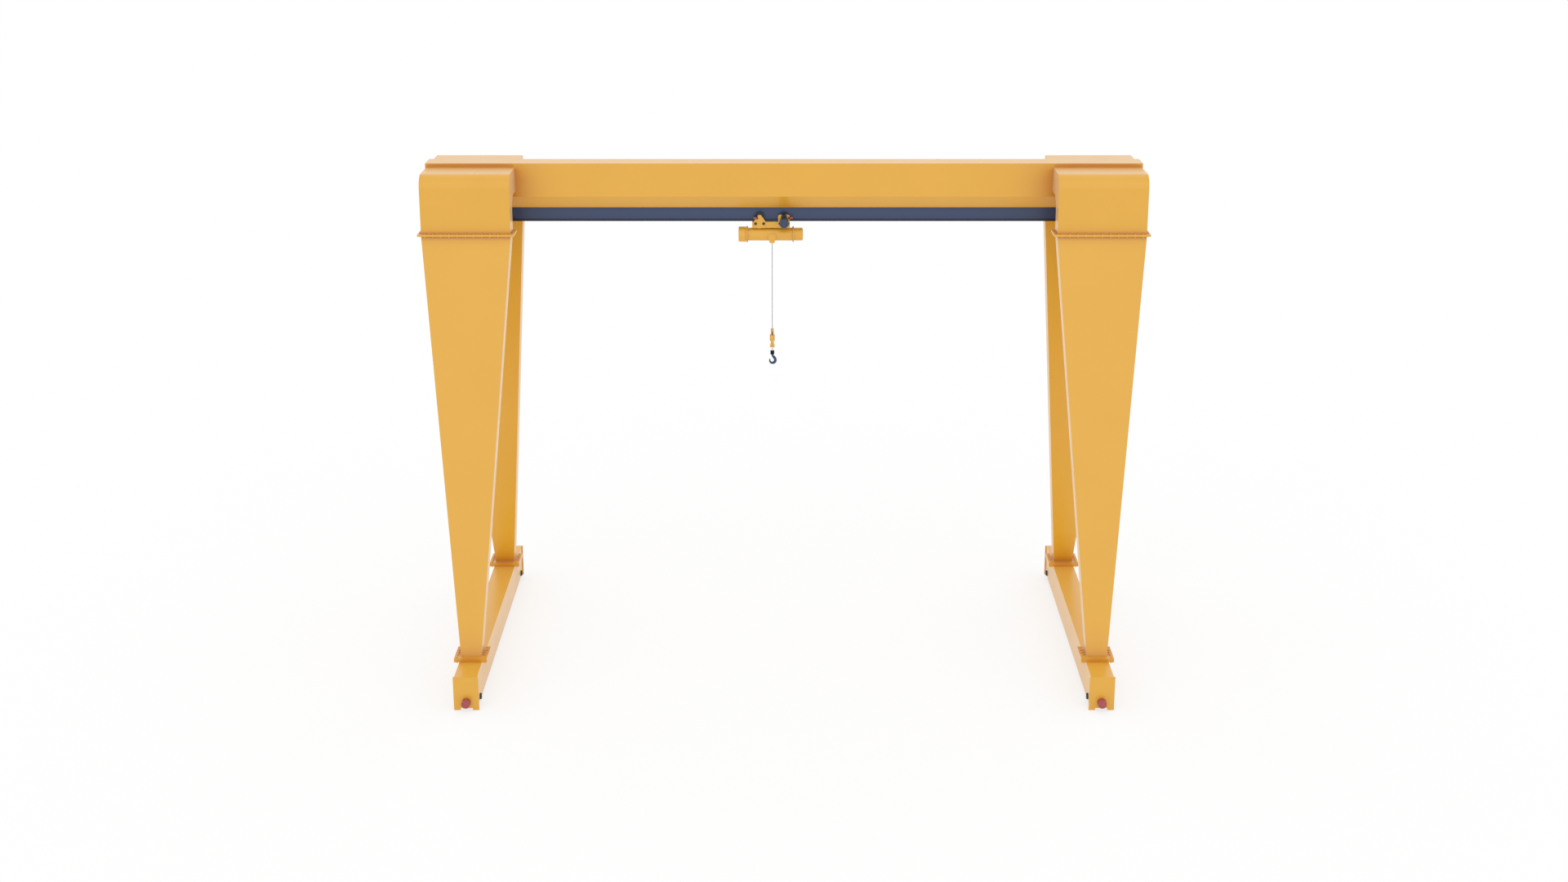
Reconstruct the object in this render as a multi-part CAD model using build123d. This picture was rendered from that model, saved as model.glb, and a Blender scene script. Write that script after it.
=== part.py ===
"""Single-girder gantry crane: a box girder on four splayed legs, rolling on two end beams.

A wire-rope hoist hangs from a trolley that runs along the track beam under the girder.
X runs along the girder, Y along the end beams, Z up; the origin is on the ground under the middle.
"""
import os
from math import acos, degrees, hypot

from build123d import *

os.makedirs("parts", exist_ok=True)

# Overall stance
SPAN = 12000             # between the centre lines of the two end beams
FOOT_SPREAD = 5300       # between the feet of the legs on one end beam
HEAD_SPREAD = 2010       # between the heads of those legs, under the girder
GROUND_CLEARANCE = 10    # under the end plates
RUNNING_FIT = 0.1        # radial play of a shaft in its bore
ROLLING_GAP = 0.3        # play between a trolley wheel and its track

# End beams
BEAM_WIDTH = 430
BEAM_BOTTOM = 70
BEAM_TOP = 680
BEAM_OVERHANG = 305      # from an axle to the end of its beam
BEAM_SIDE_WALL = 12
BEAM_COVER_WALL = 14
END_PLATE_WIDTH = 478
END_PLATE_WALL = 20
RAIL_NOTCH_WIDTH = 235
RAIL_NOTCH_HEIGHT = 43

# Rail wheels and their bearings
WHEEL_BASE = 6700
WHEEL_TREAD_RADIUS = 135
WHEEL_FLANGE_RADIUS = 155
WHEEL_TREAD_WIDTH = 86
WHEEL_FLANGE_WALL = 22
WHEEL_POCKET_MARGIN = 20
AXLE_SHOULDER_RADIUS = 48
AXLE_SHOULDER_PLAY = 5
AXLE_JOURNAL_RADIUS = 35
AXLE_CAP_RADIUS = 60
AXLE_CAP_LENGTH = 28
AXLE_CAP_CHAMFER = 6

# Rubber buffers on the end plates
BUFFER_RADIUS = 82
BUFFER_LENGTH = 140
BUFFER_HEIGHT = 175      # centre line above the ground
BUFFER_EDGE = 18

# Legs and their bolted flanges
LEG_FOOT_WIDTH = 390
LEG_HEAD_WIDTH = 1690
LEG_DEPTH = 370
LEG_WALL = 10
LEG_HEIGHT = 7850
FOOT_FLANGE_WALL = 40
FOOT_FLANGE_MARGIN = 120
HEAD_FLANGE_WALL = 18
HEAD_FLANGE_MARGIN = 65

# Saddles, the bent boxes between the legs and the girder
SADDLE_HEIGHT = 1106
SADDLE_ARM_HEIGHT = 462
SADDLE_FRONT_BEND = 250
SADDLE_REAR_BEND = 30
SADDLE_INNER_BEND = 300
SADDLE_WALL = 10

# Main girder: box on top, sloping plates below, hung I-section track
GIRDER_END_REACH = 15    # past the saddles
GIRDER_WIDTH = 520
GIRDER_RISE = 78         # girder top above the saddle tops
GIRDER_WEB_HEIGHT = 628
GIRDER_TOP_WALL = 12
GIRDER_WEB_WALL = 8
GIRDER_END_WALL = 12
SLOPE_HEIGHT = 240
TRACK_HEIGHT = 290
TRACK_WIDTH = 130
TRACK_WEB_WALL = 10
TRACK_FLANGE_WALL = 20
TRACK_LAP = 16           # depth of the track's top flange between the sloping plates

# Stops near the ends of the track
STOP_SETBACK = 910       # from the girder's end to the inner face of a stop
STOP_WALL = 14
STOP_HEIGHT = 104
STOP_REACH = 112         # out from the middle of the track
STOP_GUSSET = 90

# Trolley
ROPE_LINE = -230         # X of the rope falls
IDLE_AXLE = -472
DRIVE_AXLE = 0
TROLLEY_TREAD_RADIUS = 70
TROLLEY_FLANGE_RADIUS = 86
TROLLEY_FLANGE_WALL = 8
TROLLEY_FLANGE_PLAY = 5
TROLLEY_WEB_PLAY = 11
TROLLEY_PIN_RADIUS = 20
TROLLEY_PIN_HEAD = 30
BOLT_HEAD_WALL = 16      # heads of the wheel pins and tie bolts
TROLLEY_PLATE_WALL = 12
TROLLEY_PLATE_PLAY = 4
IDLE_PLATE_WIDTH = 226
DRIVE_PLATE_WIDTH = 228
PLATE_CROWN_RADIUS = 40
PLATE_SHOULDER = 92      # below the wheel centre, where the full width begins
DRIVE_PLATE_CORNER = 40
TIE_BOLT_RADIUS = 14
TIE_BOLT_HEAD_RADIUS = 26
TIE_BOLT_SPREAD = 158
TIE_BOLT_DROP = 44       # below the track
TRACK_CLEARANCE = 12     # between the track and the hanger under it
HANGER_HEIGHT = 120
HANGER_WALL = 14
HANGER_LUG = 32          # past the idle plates
CRADLE_LENGTH = 70
CRADLE_WIDTH = 90
TROLLEY_BUFFER_RADIUS = 20
TROLLEY_BUFFER_LENGTH = 62
TROLLEY_BUFFER_DROP = 21  # below the wheel centre
BRACKET_WALL = 20
BRACKET_HEIGHT = 44
BRACKET_SETBACK = 6      # from the wheel pin's head, or from the drive plate's edge

# Travel drive of the trolley
TRAVEL_MOTOR_RADIUS = 85
TRAVEL_MOTOR_LENGTH = 210
TRAVEL_MOTOR_DROP = 90   # motor axis below the wheel axis
TRAVEL_MOTOR_EDGE = 14
GEAR_CASE_WALL = 55
GEAR_CASE_NECK = 54

# Hoist
HOIST_AXIS_DROP = 268    # drum axis below the track
CASING_RADIUS = 126
CASING_LENGTH = 916
CASING_LEFT = 515        # from the rope line to the gearbox joint
DRUM_FLANGE_RADIUS = 160
DRUM_FLANGE_WALL = 28
DRUM_FLANGE_SETBACK = 10
GEARBOX_RADIUS = 149
GEARBOX_LENGTH = 136
GEARBOX_EDGE = 20
MOTOR_FLANGE_RADIUS = 155
MOTOR_FLANGE_WALL = 20
MOTOR_RADIUS = 125
MOTOR_LENGTH = 176
MOTOR_EDGE = 26
ROPE_GUIDE_WIDTH = 140
ROPE_GUIDE_TOE = 92      # width at the lower face
ROPE_GUIDE_HEAD = 100    # width at the upper face
ROPE_GUIDE_MARGIN = 30   # front and rear, past the rope falls
ROPE_GUIDE_RISE = 25     # upper face above the drum axis
ROPE_GUIDE_CHEEK = 55    # straight part of the sides
ROPE_GUIDE_DROP = 148    # lower face below the drum axis
ROPE_GUIDE_CORNER = 14
ROPE_RADIUS = 6.5
ROPE_SPREAD = 240        # between the two falls

# Hook block
HOOK_DROP = 1918         # sheave axis below the lower face of the rope guide
BLOCK_CROWN = 52         # top of the shell above the sheave's rim
BLOCK_WIDTH = 60
BLOCK_WALL = 8
BLOCK_HUB_RADIUS = 68
BLOCK_HUB_WIDTH = 88
ROPE_SLOT_PLAY = 5
ROPE_SLOT_SILL = 80      # lower end of the rope slots above the sheave axis
ROPE_SLOT_REACH = 66     # from the rope towards the middle of the block
SHEAVE_RIM_RISE = 10     # rim past the middle of the rope
SHEAVE_PLAY = 4          # between the rim and the shell's floor
SHEAVE_WIDTH = 38
SHEAVE_RIM_WALL = 4
SHEAVE_GROOVE_WIDTH = 15
SHEAVE_BOSS_RADIUS = 34
CROSSHEAD_WIDTH = 92
CROSSHEAD_DEPTH = 200
CROSSHEAD_HEIGHT = 34
CROSSHEAD_SKIRT = 18     # upright part of its sides

# Hook forging: the bar widens from the neck to the back and narrows to the point
SHANK_RADIUS = 18
COLLAR_GAP = 87
COLLAR_RADIUS = 39
COLLAR_HEIGHT = 78
COLLAR_CHAMFER = 5
HOOK_NECK_BEND = 62
HOOK_NECK_TURN = 40      # degrees that the neck leans out
HOOK_NECK_RUN = 49       # straight part between neck and back
HOOK_BACK_BEND = 60
HOOK_TOE_BEND = 50
HOOK_POINT_RUN = 36
HOOK_NECK_BAR = 38
HOOK_BACK_BAR = 57
HOOK_SEAT_BAR = 50
HOOK_TOE_BAR = 29
HOOK_POINT_BAR = 16
HOOK_FLATNESS = 0.75     # thickness of the bar across its bend

# Lengths and heights that follow
BEAM_LENGTH = WHEEL_BASE + 2 * BEAM_OVERHANG
GIRDER_LENGTH = SPAN + LEG_HEAD_WIDTH + 2 * GIRDER_END_REACH
ROPE_GUIDE_DEPTH = ROPE_SPREAD + 2 * ROPE_GUIDE_MARGIN
SHEAVE_RADIUS = ROPE_SPREAD / 2 + SHEAVE_RIM_RISE
BLOCK_RADIUS = SHEAVE_RADIUS + BLOCK_CROWN
BLOCK_FLOOR = SHEAVE_RADIUS + SHEAVE_PLAY + BLOCK_WALL
AXLE_Z = WHEEL_FLANGE_RADIUS
LEG_FOOT_Z = BEAM_TOP + 2 * FOOT_FLANGE_WALL
LEG_HEAD_Z = LEG_FOOT_Z + LEG_HEIGHT
SADDLE_Z = LEG_HEAD_Z + 2 * HEAD_FLANGE_WALL
SADDLE_TOP = SADDLE_Z + SADDLE_HEIGHT
GIRDER_TOP = SADDLE_TOP + GIRDER_RISE
CREASE_Z = GIRDER_TOP - GIRDER_TOP_WALL - GIRDER_WEB_HEIGHT
SLOPE_Z = CREASE_Z - SLOPE_HEIGHT
TRACK_TOP = SLOPE_Z + TRACK_LAP
TRACK_BOTTOM = TRACK_TOP - TRACK_HEIGHT
RUNWAY_Z = TRACK_BOTTOM + TRACK_FLANGE_WALL
TROLLEY_AXLE_Z = RUNWAY_Z + ROLLING_GAP + TROLLEY_TREAD_RADIUS
TIE_BOLT_Z = TRACK_BOTTOM - TIE_BOLT_DROP
HANGER_TOP = TRACK_BOTTOM - TRACK_CLEARANCE
HANGER_BOTTOM = HANGER_TOP - HANGER_HEIGHT
DRUM_Z = TRACK_BOTTOM - HOIST_AXIS_DROP
ROPE_EXIT_Z = DRUM_Z - ROPE_GUIDE_DROP
SHEAVE_Z = ROPE_EXIT_Z - HOOK_DROP
CROSSHEAD_TOP = SHEAVE_Z - BLOCK_FLOOR
COLLAR_TOP = CROSSHEAD_TOP - CROSSHEAD_HEIGHT - COLLAR_GAP

# Widths that follow
PLATE_INNER_Y = TRACK_WIDTH / 2 + TROLLEY_FLANGE_PLAY + TROLLEY_FLANGE_WALL + TROLLEY_PLATE_PLAY
PLATE_OUTER_Y = PLATE_INNER_Y + TROLLEY_PLATE_WALL

SIDES = {"left": -1, "right": 1}
ENDS = {"front": -1, "rear": 1}
CORNERS = [(x, y) for x in SIDES.values() for y in ENDS.values()]


def save(node, *solids):
    """Write one node, which may hold several solids that don't touch."""
    export_step(Compound(children=list(solids)), f"parts/{node}.step")


def slab(x_range, y_range, z_range):
    """A block between two limits on each axis."""
    lows, highs = zip(x_range, y_range, z_range)
    size = [high - low for low, high in zip(lows, highs)]
    middle = [(high + low) / 2 for low, high in zip(lows, highs)]
    return Pos(*middle) * Box(*size)


def plate(x, y, z_bottom, width, depth, wall):
    """A flat plate lying on the height z_bottom, centred at x and y."""
    return Pos(x, y, z_bottom + wall / 2) * Box(width, depth, wall)


def lengthwise(outline, length):
    """Extrude an outline drawn in Y and Z along the girder, centred on its middle."""
    return extrude(Plane.YZ * outline, amount=length / 2, both=True)


def rod_x(radius, x_low, x_high, y, z):
    """A round bar along X."""
    return Pos((x_low + x_high) / 2, y, z) * Rot(0, 90, 0) * Cylinder(radius, x_high - x_low)


def rod_y(radius, y_low, y_high, x, z):
    """A round bar along Y."""
    return Pos(x, (y_low + y_high) / 2, z) * Rot(90, 0, 0) * Cylinder(radius, y_high - y_low)


# Main girder
def girder_plates():
    length = GIRDER_LENGTH - 2 * GIRDER_END_WALL
    half = GIRDER_WIDTH / 2
    web_top = GIRDER_TOP - GIRDER_TOP_WALL
    save("girder_top_plate", plate(0, 0, web_top, length, GIRDER_WIDTH, GIRDER_TOP_WALL))

    webs = []
    slopes = []
    lean = half - TRACK_WIDTH / 2
    slant = hypot(lean, SLOPE_HEIGHT)
    top_cut = GIRDER_WEB_WALL * slant / SLOPE_HEIGHT
    foot_cut = GIRDER_WEB_WALL * slant / lean
    for side in ENDS.values():
        web_y = side * (half - GIRDER_WEB_WALL / 2)
        webs.append(plate(0, web_y, CREASE_Z, length, GIRDER_WEB_WALL, GIRDER_WEB_HEIGHT))
        edge = Polyline(
            (side * half, CREASE_Z),
            (side * (half - top_cut), CREASE_Z),
            (side * TRACK_WIDTH / 2, SLOPE_Z + foot_cut),
            (side * TRACK_WIDTH / 2, SLOPE_Z),
            close=True,
        )
        slopes.append(lengthwise(make_face(edge), length))
    save("girder_web_plates", *webs)
    save("girder_slope_plates", *slopes)

    section = Polyline(
        (-half, GIRDER_TOP),
        (half, GIRDER_TOP),
        (half, CREASE_Z),
        (TRACK_WIDTH / 2, SLOPE_Z),
        (-TRACK_WIDTH / 2, SLOPE_Z),
        (-half, CREASE_Z),
        close=True,
    )
    cap = lengthwise(make_face(section), GIRDER_END_WALL)
    offset = (GIRDER_LENGTH - GIRDER_END_WALL) / 2
    save("girder_end_plates", Pos(-offset, 0, 0) * cap, Pos(offset, 0, 0) * cap)


def track():
    length = GIRDER_LENGTH - 2 * GIRDER_END_WALL
    middle = TRACK_BOTTOM + TRACK_HEIGHT / 2
    flange_offset = (TRACK_HEIGHT - TRACK_FLANGE_WALL) / 2
    section = Pos(0, middle) * Rectangle(TRACK_WEB_WALL, TRACK_HEIGHT)
    for offset in (-flange_offset, flange_offset):
        section += Pos(0, middle + offset) * Rectangle(TRACK_WIDTH, TRACK_FLANGE_WALL)
    save("track_beam", lengthwise(section, length))

    stops = []
    inner = GIRDER_LENGTH / 2 - STOP_SETBACK
    outer = inner + STOP_WALL
    face = slab((inner, outer), (TRACK_WEB_WALL / 2, STOP_REACH), (RUNWAY_Z, RUNWAY_Z + STOP_HEIGHT))
    gusset_edge = Polyline(
        (outer, RUNWAY_Z), (outer + STOP_GUSSET, RUNWAY_Z), (outer, RUNWAY_Z + STOP_GUSSET), close=True
    )
    gusset = extrude(Plane.XZ * make_face(gusset_edge), amount=STOP_WALL / 2, both=True)
    stop = face + Pos(0, TRACK_WIDTH / 4, 0) * gusset
    for pair in (stop, mirror(stop, about=Plane.XZ)):
        stops += [pair, mirror(pair, about=Plane.YZ)]
    save("track_stops", *stops)


# Saddles and legs
def saddle_outline(outer_bend, inset, run_out):
    """Side view of a bent box, drawn inset from its skin and run_out past its open ends."""
    top = SADDLE_TOP - inset
    underside = SADDLE_TOP - SADDLE_ARM_HEIGHT + inset
    outer = (HEAD_SPREAD + LEG_DEPTH) / 2 - inset
    inner = (HEAD_SPREAD - LEG_DEPTH) / 2 + inset
    web = GIRDER_WIDTH / 2 - run_out
    base = SADDLE_Z - run_out
    edge = Polyline(
        (web, top),
        (outer, top),
        (outer, base),
        (inner, base),
        (inner, underside),
        (web, underside),
        close=True,
    )
    outline = make_face(edge)
    bends = [((outer, top), outer_bend - inset), ((inner, underside), SADDLE_INNER_BEND + inset)]
    for corner, radius in bends:
        outline = fillet(outline.vertices().sort_by_distance(corner)[0], radius)
    return outline


def saddles():
    for end, outer_bend in {"front": SADDLE_FRONT_BEND, "rear": SADDLE_REAR_BEND}.items():
        skin = lengthwise(saddle_outline(outer_bend, 0, 0), LEG_HEAD_WIDTH)
        hollow_length = LEG_HEAD_WIDTH - 2 * SADDLE_WALL
        bent_box = skin - lengthwise(saddle_outline(outer_bend, SADDLE_WALL, SADDLE_WALL), hollow_length)
        if end == "front":
            bent_box = mirror(bent_box, about=Plane.XZ)
        for side, x in SIDES.items():
            save(f"saddle_{end}_{side}", Pos(x * SPAN / 2, 0, 0) * bent_box)


def leg_body(x, y, inset):
    """A leaning box that widens from foot to head, drawn inset from its skin."""
    middle = x * SPAN / 2
    near = LEG_DEPTH / 2 - inset
    foot = LEG_FOOT_WIDTH / 2 - inset
    head = LEG_HEAD_WIDTH / 2 - inset
    foot_y = y * FOOT_SPREAD / 2 - near
    head_y = y * HEAD_SPREAD / 2 - near
    edge = Polyline(
        (middle - foot, foot_y, LEG_FOOT_Z),
        (middle + foot, foot_y, LEG_FOOT_Z),
        (middle + head, head_y, LEG_HEAD_Z),
        (middle - head, head_y, LEG_HEAD_Z),
        close=True,
    )
    return extrude(make_face(edge), amount=2 * near, dir=(0, 1, 0))


def legs():
    for end, y in ENDS.items():
        for side, x in SIDES.items():
            save(f"leg_{end}_{side}", leg_body(x, y, 0) - leg_body(x, y, LEG_WALL))


def flanges(node, spread, width, depth, z_bottom, wall):
    """The four like flange plates at the feet or heads of the legs."""
    save(node, *[plate(x * SPAN / 2, y * spread / 2, z_bottom, width, depth, wall) for x, y in CORNERS])


def leg_flanges():
    head_size = (LEG_HEAD_WIDTH + 2 * HEAD_FLANGE_MARGIN, LEG_DEPTH + 2 * HEAD_FLANGE_MARGIN)
    foot_size = (LEG_FOOT_WIDTH + 2 * FOOT_FLANGE_MARGIN, LEG_DEPTH + 2 * FOOT_FLANGE_MARGIN)
    flanges("saddle_flanges", HEAD_SPREAD, *head_size, LEG_HEAD_Z + HEAD_FLANGE_WALL, HEAD_FLANGE_WALL)
    flanges("leg_head_flanges", HEAD_SPREAD, *head_size, LEG_HEAD_Z, HEAD_FLANGE_WALL)
    flanges("leg_foot_flanges", FOOT_SPREAD, *foot_size, BEAM_TOP + FOOT_FLANGE_WALL, FOOT_FLANGE_WALL)
    flanges("beam_seats", FOOT_SPREAD, *foot_size, BEAM_TOP, FOOT_FLANGE_WALL)


# End beams
def end_beams():
    tops = []
    sides = []
    bottoms = []
    end_plates = []
    side_z = (BEAM_BOTTOM + BEAM_COVER_WALL, BEAM_TOP - BEAM_COVER_WALL)
    pocket = WHEEL_FLANGE_RADIUS + WHEEL_POCKET_MARGIN
    for x in SIDES.values():
        middle = x * SPAN / 2
        tops.append(plate(middle, 0, side_z[1], BEAM_WIDTH, BEAM_LENGTH, BEAM_COVER_WALL))
        for face in SIDES.values():
            wall_x = middle + face * (BEAM_WIDTH - BEAM_SIDE_WALL) / 2
            wall = plate(wall_x, 0, side_z[0], BEAM_SIDE_WALL, BEAM_LENGTH, side_z[1] - side_z[0])
            limits = (wall_x - BEAM_SIDE_WALL, wall_x + BEAM_SIDE_WALL)
            for y in ENDS.values():
                wall -= rod_x(AXLE_JOURNAL_RADIUS + RUNNING_FIT, *limits, y * WHEEL_BASE / 2, AXLE_Z)
            sides.append(wall)
        long_strip = WHEEL_BASE - 2 * pocket
        short_strip = BEAM_OVERHANG - pocket
        bottoms.append(plate(middle, 0, BEAM_BOTTOM, BEAM_WIDTH, long_strip, BEAM_COVER_WALL))
        for y in ENDS.values():
            strip_y = y * (BEAM_LENGTH - short_strip) / 2
            bottoms.append(plate(middle, strip_y, BEAM_BOTTOM, BEAM_WIDTH, short_strip, BEAM_COVER_WALL))
            plate_y = y * (BEAM_LENGTH + END_PLATE_WALL) / 2
            height = BEAM_TOP - GROUND_CLEARANCE
            end_plate = plate(middle, plate_y, GROUND_CLEARANCE, END_PLATE_WIDTH, END_PLATE_WALL, height)
            notch_top = GROUND_CLEARANCE + RAIL_NOTCH_HEIGHT
            notch = plate(middle, plate_y, 0, RAIL_NOTCH_WIDTH, 2 * END_PLATE_WALL, notch_top)
            end_plates.append(end_plate - notch)
    save("end_beam_top_plates", *tops)
    save("end_beam_side_plates", *sides)
    save("end_beam_bottom_plates", *bottoms)
    save("end_beam_end_plates", *end_plates)


def axle_caps():
    caps = []
    for x, y in CORNERS:
        for face in SIDES.values():
            cap = Cylinder(AXLE_CAP_RADIUS, AXLE_CAP_LENGTH)
            cap = chamfer(cap.edges().group_by(Axis.Z)[-1], AXLE_CAP_CHAMFER)
            offset = face * (BEAM_WIDTH + AXLE_CAP_LENGTH) / 2
            caps.append(Pos(x * SPAN / 2 + offset, y * WHEEL_BASE / 2, AXLE_Z) * Rot(0, face * 90, 0) * cap)
    save("axle_caps", *caps)


def rail_buffers():
    buffers = []
    for x, y in CORNERS:
        pad = Cylinder(BUFFER_RADIUS, BUFFER_LENGTH)
        pad = fillet(pad.edges().group_by(Axis.Z)[-1], BUFFER_EDGE)
        middle = y * (BEAM_LENGTH / 2 + END_PLATE_WALL + BUFFER_LENGTH / 2)
        buffers.append(Pos(x * SPAN / 2, middle, BUFFER_HEIGHT) * Rot(-y * 90, 0, 0) * pad)
    save("rail_buffers", *buffers)


def rail_wheels():
    """Solid double-flanged wheels, each on its own stub axle."""
    tread = WHEEL_TREAD_WIDTH / 2
    rim = tread + WHEEL_FLANGE_WALL
    shoulder = BEAM_WIDTH / 2 - BEAM_SIDE_WALL - AXLE_SHOULDER_PLAY
    right = [
        (tread, WHEEL_TREAD_RADIUS),
        (tread + WHEEL_FLANGE_WALL / 2, WHEEL_FLANGE_RADIUS),
        (rim, WHEEL_FLANGE_RADIUS),
        (rim, AXLE_SHOULDER_RADIUS),
        (shoulder, AXLE_SHOULDER_RADIUS),
        (shoulder, AXLE_JOURNAL_RADIUS),
        (BEAM_WIDTH / 2, AXLE_JOURNAL_RADIUS),
        (BEAM_WIDTH / 2, 0),
    ]
    left = [(-x, radius) for x, radius in reversed(right)]
    wheel = revolve(Plane.XZ * make_face(Polyline(*right, *left, close=True)), axis=Axis.X)
    for end, y in ENDS.items():
        for side, x in SIDES.items():
            save(f"rail_wheel_{end}_{side}", Pos(x * SPAN / 2, y * WHEEL_BASE / 2, AXLE_Z) * wheel)


# Trolley
def trolley_plate(axle, width, outline_top):
    """One side plate with its pin and bolt holes, drawn in X and Z about the wheel centre."""
    floor = HANGER_BOTTOM - TROLLEY_AXLE_Z
    outline = outline_top(width, floor)
    outline -= Circle(TROLLEY_PIN_RADIUS)
    for side in SIDES.values():
        outline -= Pos(side * TIE_BOLT_SPREAD / 2, TIE_BOLT_Z - TROLLEY_AXLE_Z) * Circle(TIE_BOLT_RADIUS)
    blank = extrude(Plane.XZ * outline, amount=TROLLEY_PLATE_WALL / 2, both=True)
    return [Pos(axle, y * (PLATE_INNER_Y + PLATE_OUTER_Y) / 2, TROLLEY_AXLE_Z) * blank for y in ENDS.values()]


def crowned_top(width, floor):
    """Straight lower part whose shoulders slope up to a round crown over the wheel pin."""
    half = width / 2
    reach = hypot(half, PLATE_SHOULDER)
    slope = Vector(half, -PLATE_SHOULDER).rotate(Axis.Z, degrees(acos(PLATE_CROWN_RADIUS / reach)))
    touch = slope.normalized() * PLATE_CROWN_RADIUS
    edge = Polyline(
        (-half, floor),
        (half, floor),
        (half, -PLATE_SHOULDER),
        (touch.X, touch.Y),
        (-touch.X, touch.Y),
        (-half, -PLATE_SHOULDER),
        close=True,
    )
    return make_face(edge) + Circle(PLATE_CROWN_RADIUS)


def square_top(width, floor):
    """Upright plate with rounded upper corners."""
    height = PLATE_CROWN_RADIUS - floor
    blank = Pos(0, floor + height / 2) * Rectangle(width, height)
    return fillet(blank.vertices().group_by(Axis.Y)[-1], DRIVE_PLATE_CORNER)


def trolley_frame():
    save("trolley_idle_plates", *trolley_plate(IDLE_AXLE, IDLE_PLATE_WIDTH, crowned_top))
    save("trolley_drive_plates", *trolley_plate(DRIVE_AXLE, DRIVE_PLATE_WIDTH, square_top))

    pins = []
    bolts = []
    for axle in (IDLE_AXLE, DRIVE_AXLE):
        for y in ENDS.values():
            inner = y * (TRACK_WEB_WALL / 2 + TROLLEY_WEB_PLAY)
            outer = y * PLATE_OUTER_Y
            head = outer + y * BOLT_HEAD_WALL
            pin = rod_y(TROLLEY_PIN_RADIUS, *sorted((inner, outer)), axle, TROLLEY_AXLE_Z)
            pins.append(pin + rod_y(TROLLEY_PIN_HEAD, *sorted((outer, head)), axle, TROLLEY_AXLE_Z))
        for side in SIDES.values():
            bolt_x = axle + side * TIE_BOLT_SPREAD / 2
            bolt = rod_y(TIE_BOLT_RADIUS, -PLATE_OUTER_Y, PLATE_OUTER_Y, bolt_x, TIE_BOLT_Z)
            for y in ENDS.values():
                limits = sorted((y * PLATE_OUTER_Y, y * (PLATE_OUTER_Y + BOLT_HEAD_WALL)))
                bolt += rod_y(TIE_BOLT_HEAD_RADIUS, *limits, bolt_x, TIE_BOLT_Z)
            bolts.append(bolt)
    save("trolley_wheel_pins", *pins)
    save("tie_bolts", *bolts)


def hanger():
    """Channel under the track that ties the two pairs of side plates and carries the hoist."""
    left = IDLE_AXLE - IDLE_PLATE_WIDTH / 2 - HANGER_LUG
    right = DRIVE_AXLE + DRIVE_PLATE_WIDTH / 2
    channel = slab((left, right), (-PLATE_INNER_Y, PLATE_INNER_Y), (HANGER_BOTTOM, HANGER_TOP))
    inside = PLATE_INNER_Y - HANGER_WALL
    channel -= slab((left, right), (-inside, inside), (HANGER_BOTTOM, HANGER_TOP - HANGER_WALL))
    for axle in (IDLE_AXLE, DRIVE_AXLE):
        for side in SIDES.values():
            bolt_x = axle + side * TIE_BOLT_SPREAD / 2
            channel -= rod_y(TIE_BOLT_RADIUS, -PLATE_INNER_Y, PLATE_INNER_Y, bolt_x, TIE_BOLT_Z)
    save("hanger_channel", channel)

    cradles = []
    casing = rod_x(CASING_RADIUS, left, right, 0, DRUM_Z)
    for axle in (IDLE_AXLE, DRIVE_AXLE):
        limits = (axle - CRADLE_LENGTH / 2, axle + CRADLE_LENGTH / 2)
        block = slab(limits, (-CRADLE_WIDTH / 2, CRADLE_WIDTH / 2), (DRUM_Z, HANGER_TOP - HANGER_WALL))
        cradles.append(block - casing)
    save("hanger_cradles", *cradles)


def trolley_wheels():
    tread_low = TRACK_WEB_WALL / 2 + TROLLEY_WEB_PLAY
    tread_high = TRACK_WIDTH / 2 + TROLLEY_FLANGE_PLAY
    bore = TROLLEY_PIN_RADIUS + RUNNING_FIT
    profile = Polyline(
        (bore, tread_low),
        (TROLLEY_TREAD_RADIUS, tread_low),
        (TROLLEY_TREAD_RADIUS, tread_high),
        (TROLLEY_FLANGE_RADIUS, tread_high),
        (TROLLEY_FLANGE_RADIUS, tread_high + TROLLEY_FLANGE_WALL),
        (bore, tread_high + TROLLEY_FLANGE_WALL),
        close=True,
    )
    wheel = revolve(make_face(profile), axis=Axis.Y)
    both = {"front": mirror(wheel, about=Plane.XZ), "rear": wheel}
    for name, axle in {"idle": IDLE_AXLE, "drive": DRIVE_AXLE}.items():
        for end, shape in both.items():
            save(f"trolley_wheel_{name}_{end}", Pos(axle, 0, TROLLEY_AXLE_Z) * shape)


def trolley_buffers():
    """Rubber buffers on brackets that stand out from the side plates, two at each end."""
    buffers = []
    brackets = []
    axis_z = TROLLEY_AXLE_Z - TROLLEY_BUFFER_DROP
    heights = (axis_z - BRACKET_HEIGHT / 2, axis_z + BRACKET_HEIGHT / 2)
    idle_x = IDLE_AXLE - TROLLEY_PIN_HEAD - BRACKET_SETBACK
    drive_x = DRIVE_AXLE + DRIVE_PLATE_WIDTH / 2 - BRACKET_SETBACK - BRACKET_WALL
    for y in ENDS.values():
        reach = sorted((y * PLATE_OUTER_Y, y * (PLATE_OUTER_Y + BRACKET_HEIGHT)))
        axis_y = sum(reach) / 2
        for root, outward in ((idle_x, -1), (drive_x, 1)):
            tip = root + outward * BRACKET_WALL
            end = tip + outward * TROLLEY_BUFFER_LENGTH
            brackets.append(slab(sorted((root, tip)), reach, heights))
            buffers.append(rod_x(TROLLEY_BUFFER_RADIUS, *sorted((tip, end)), axis_y, axis_z))
    save("buffer_brackets", *brackets)
    save("trolley_buffers", *buffers)


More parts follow.
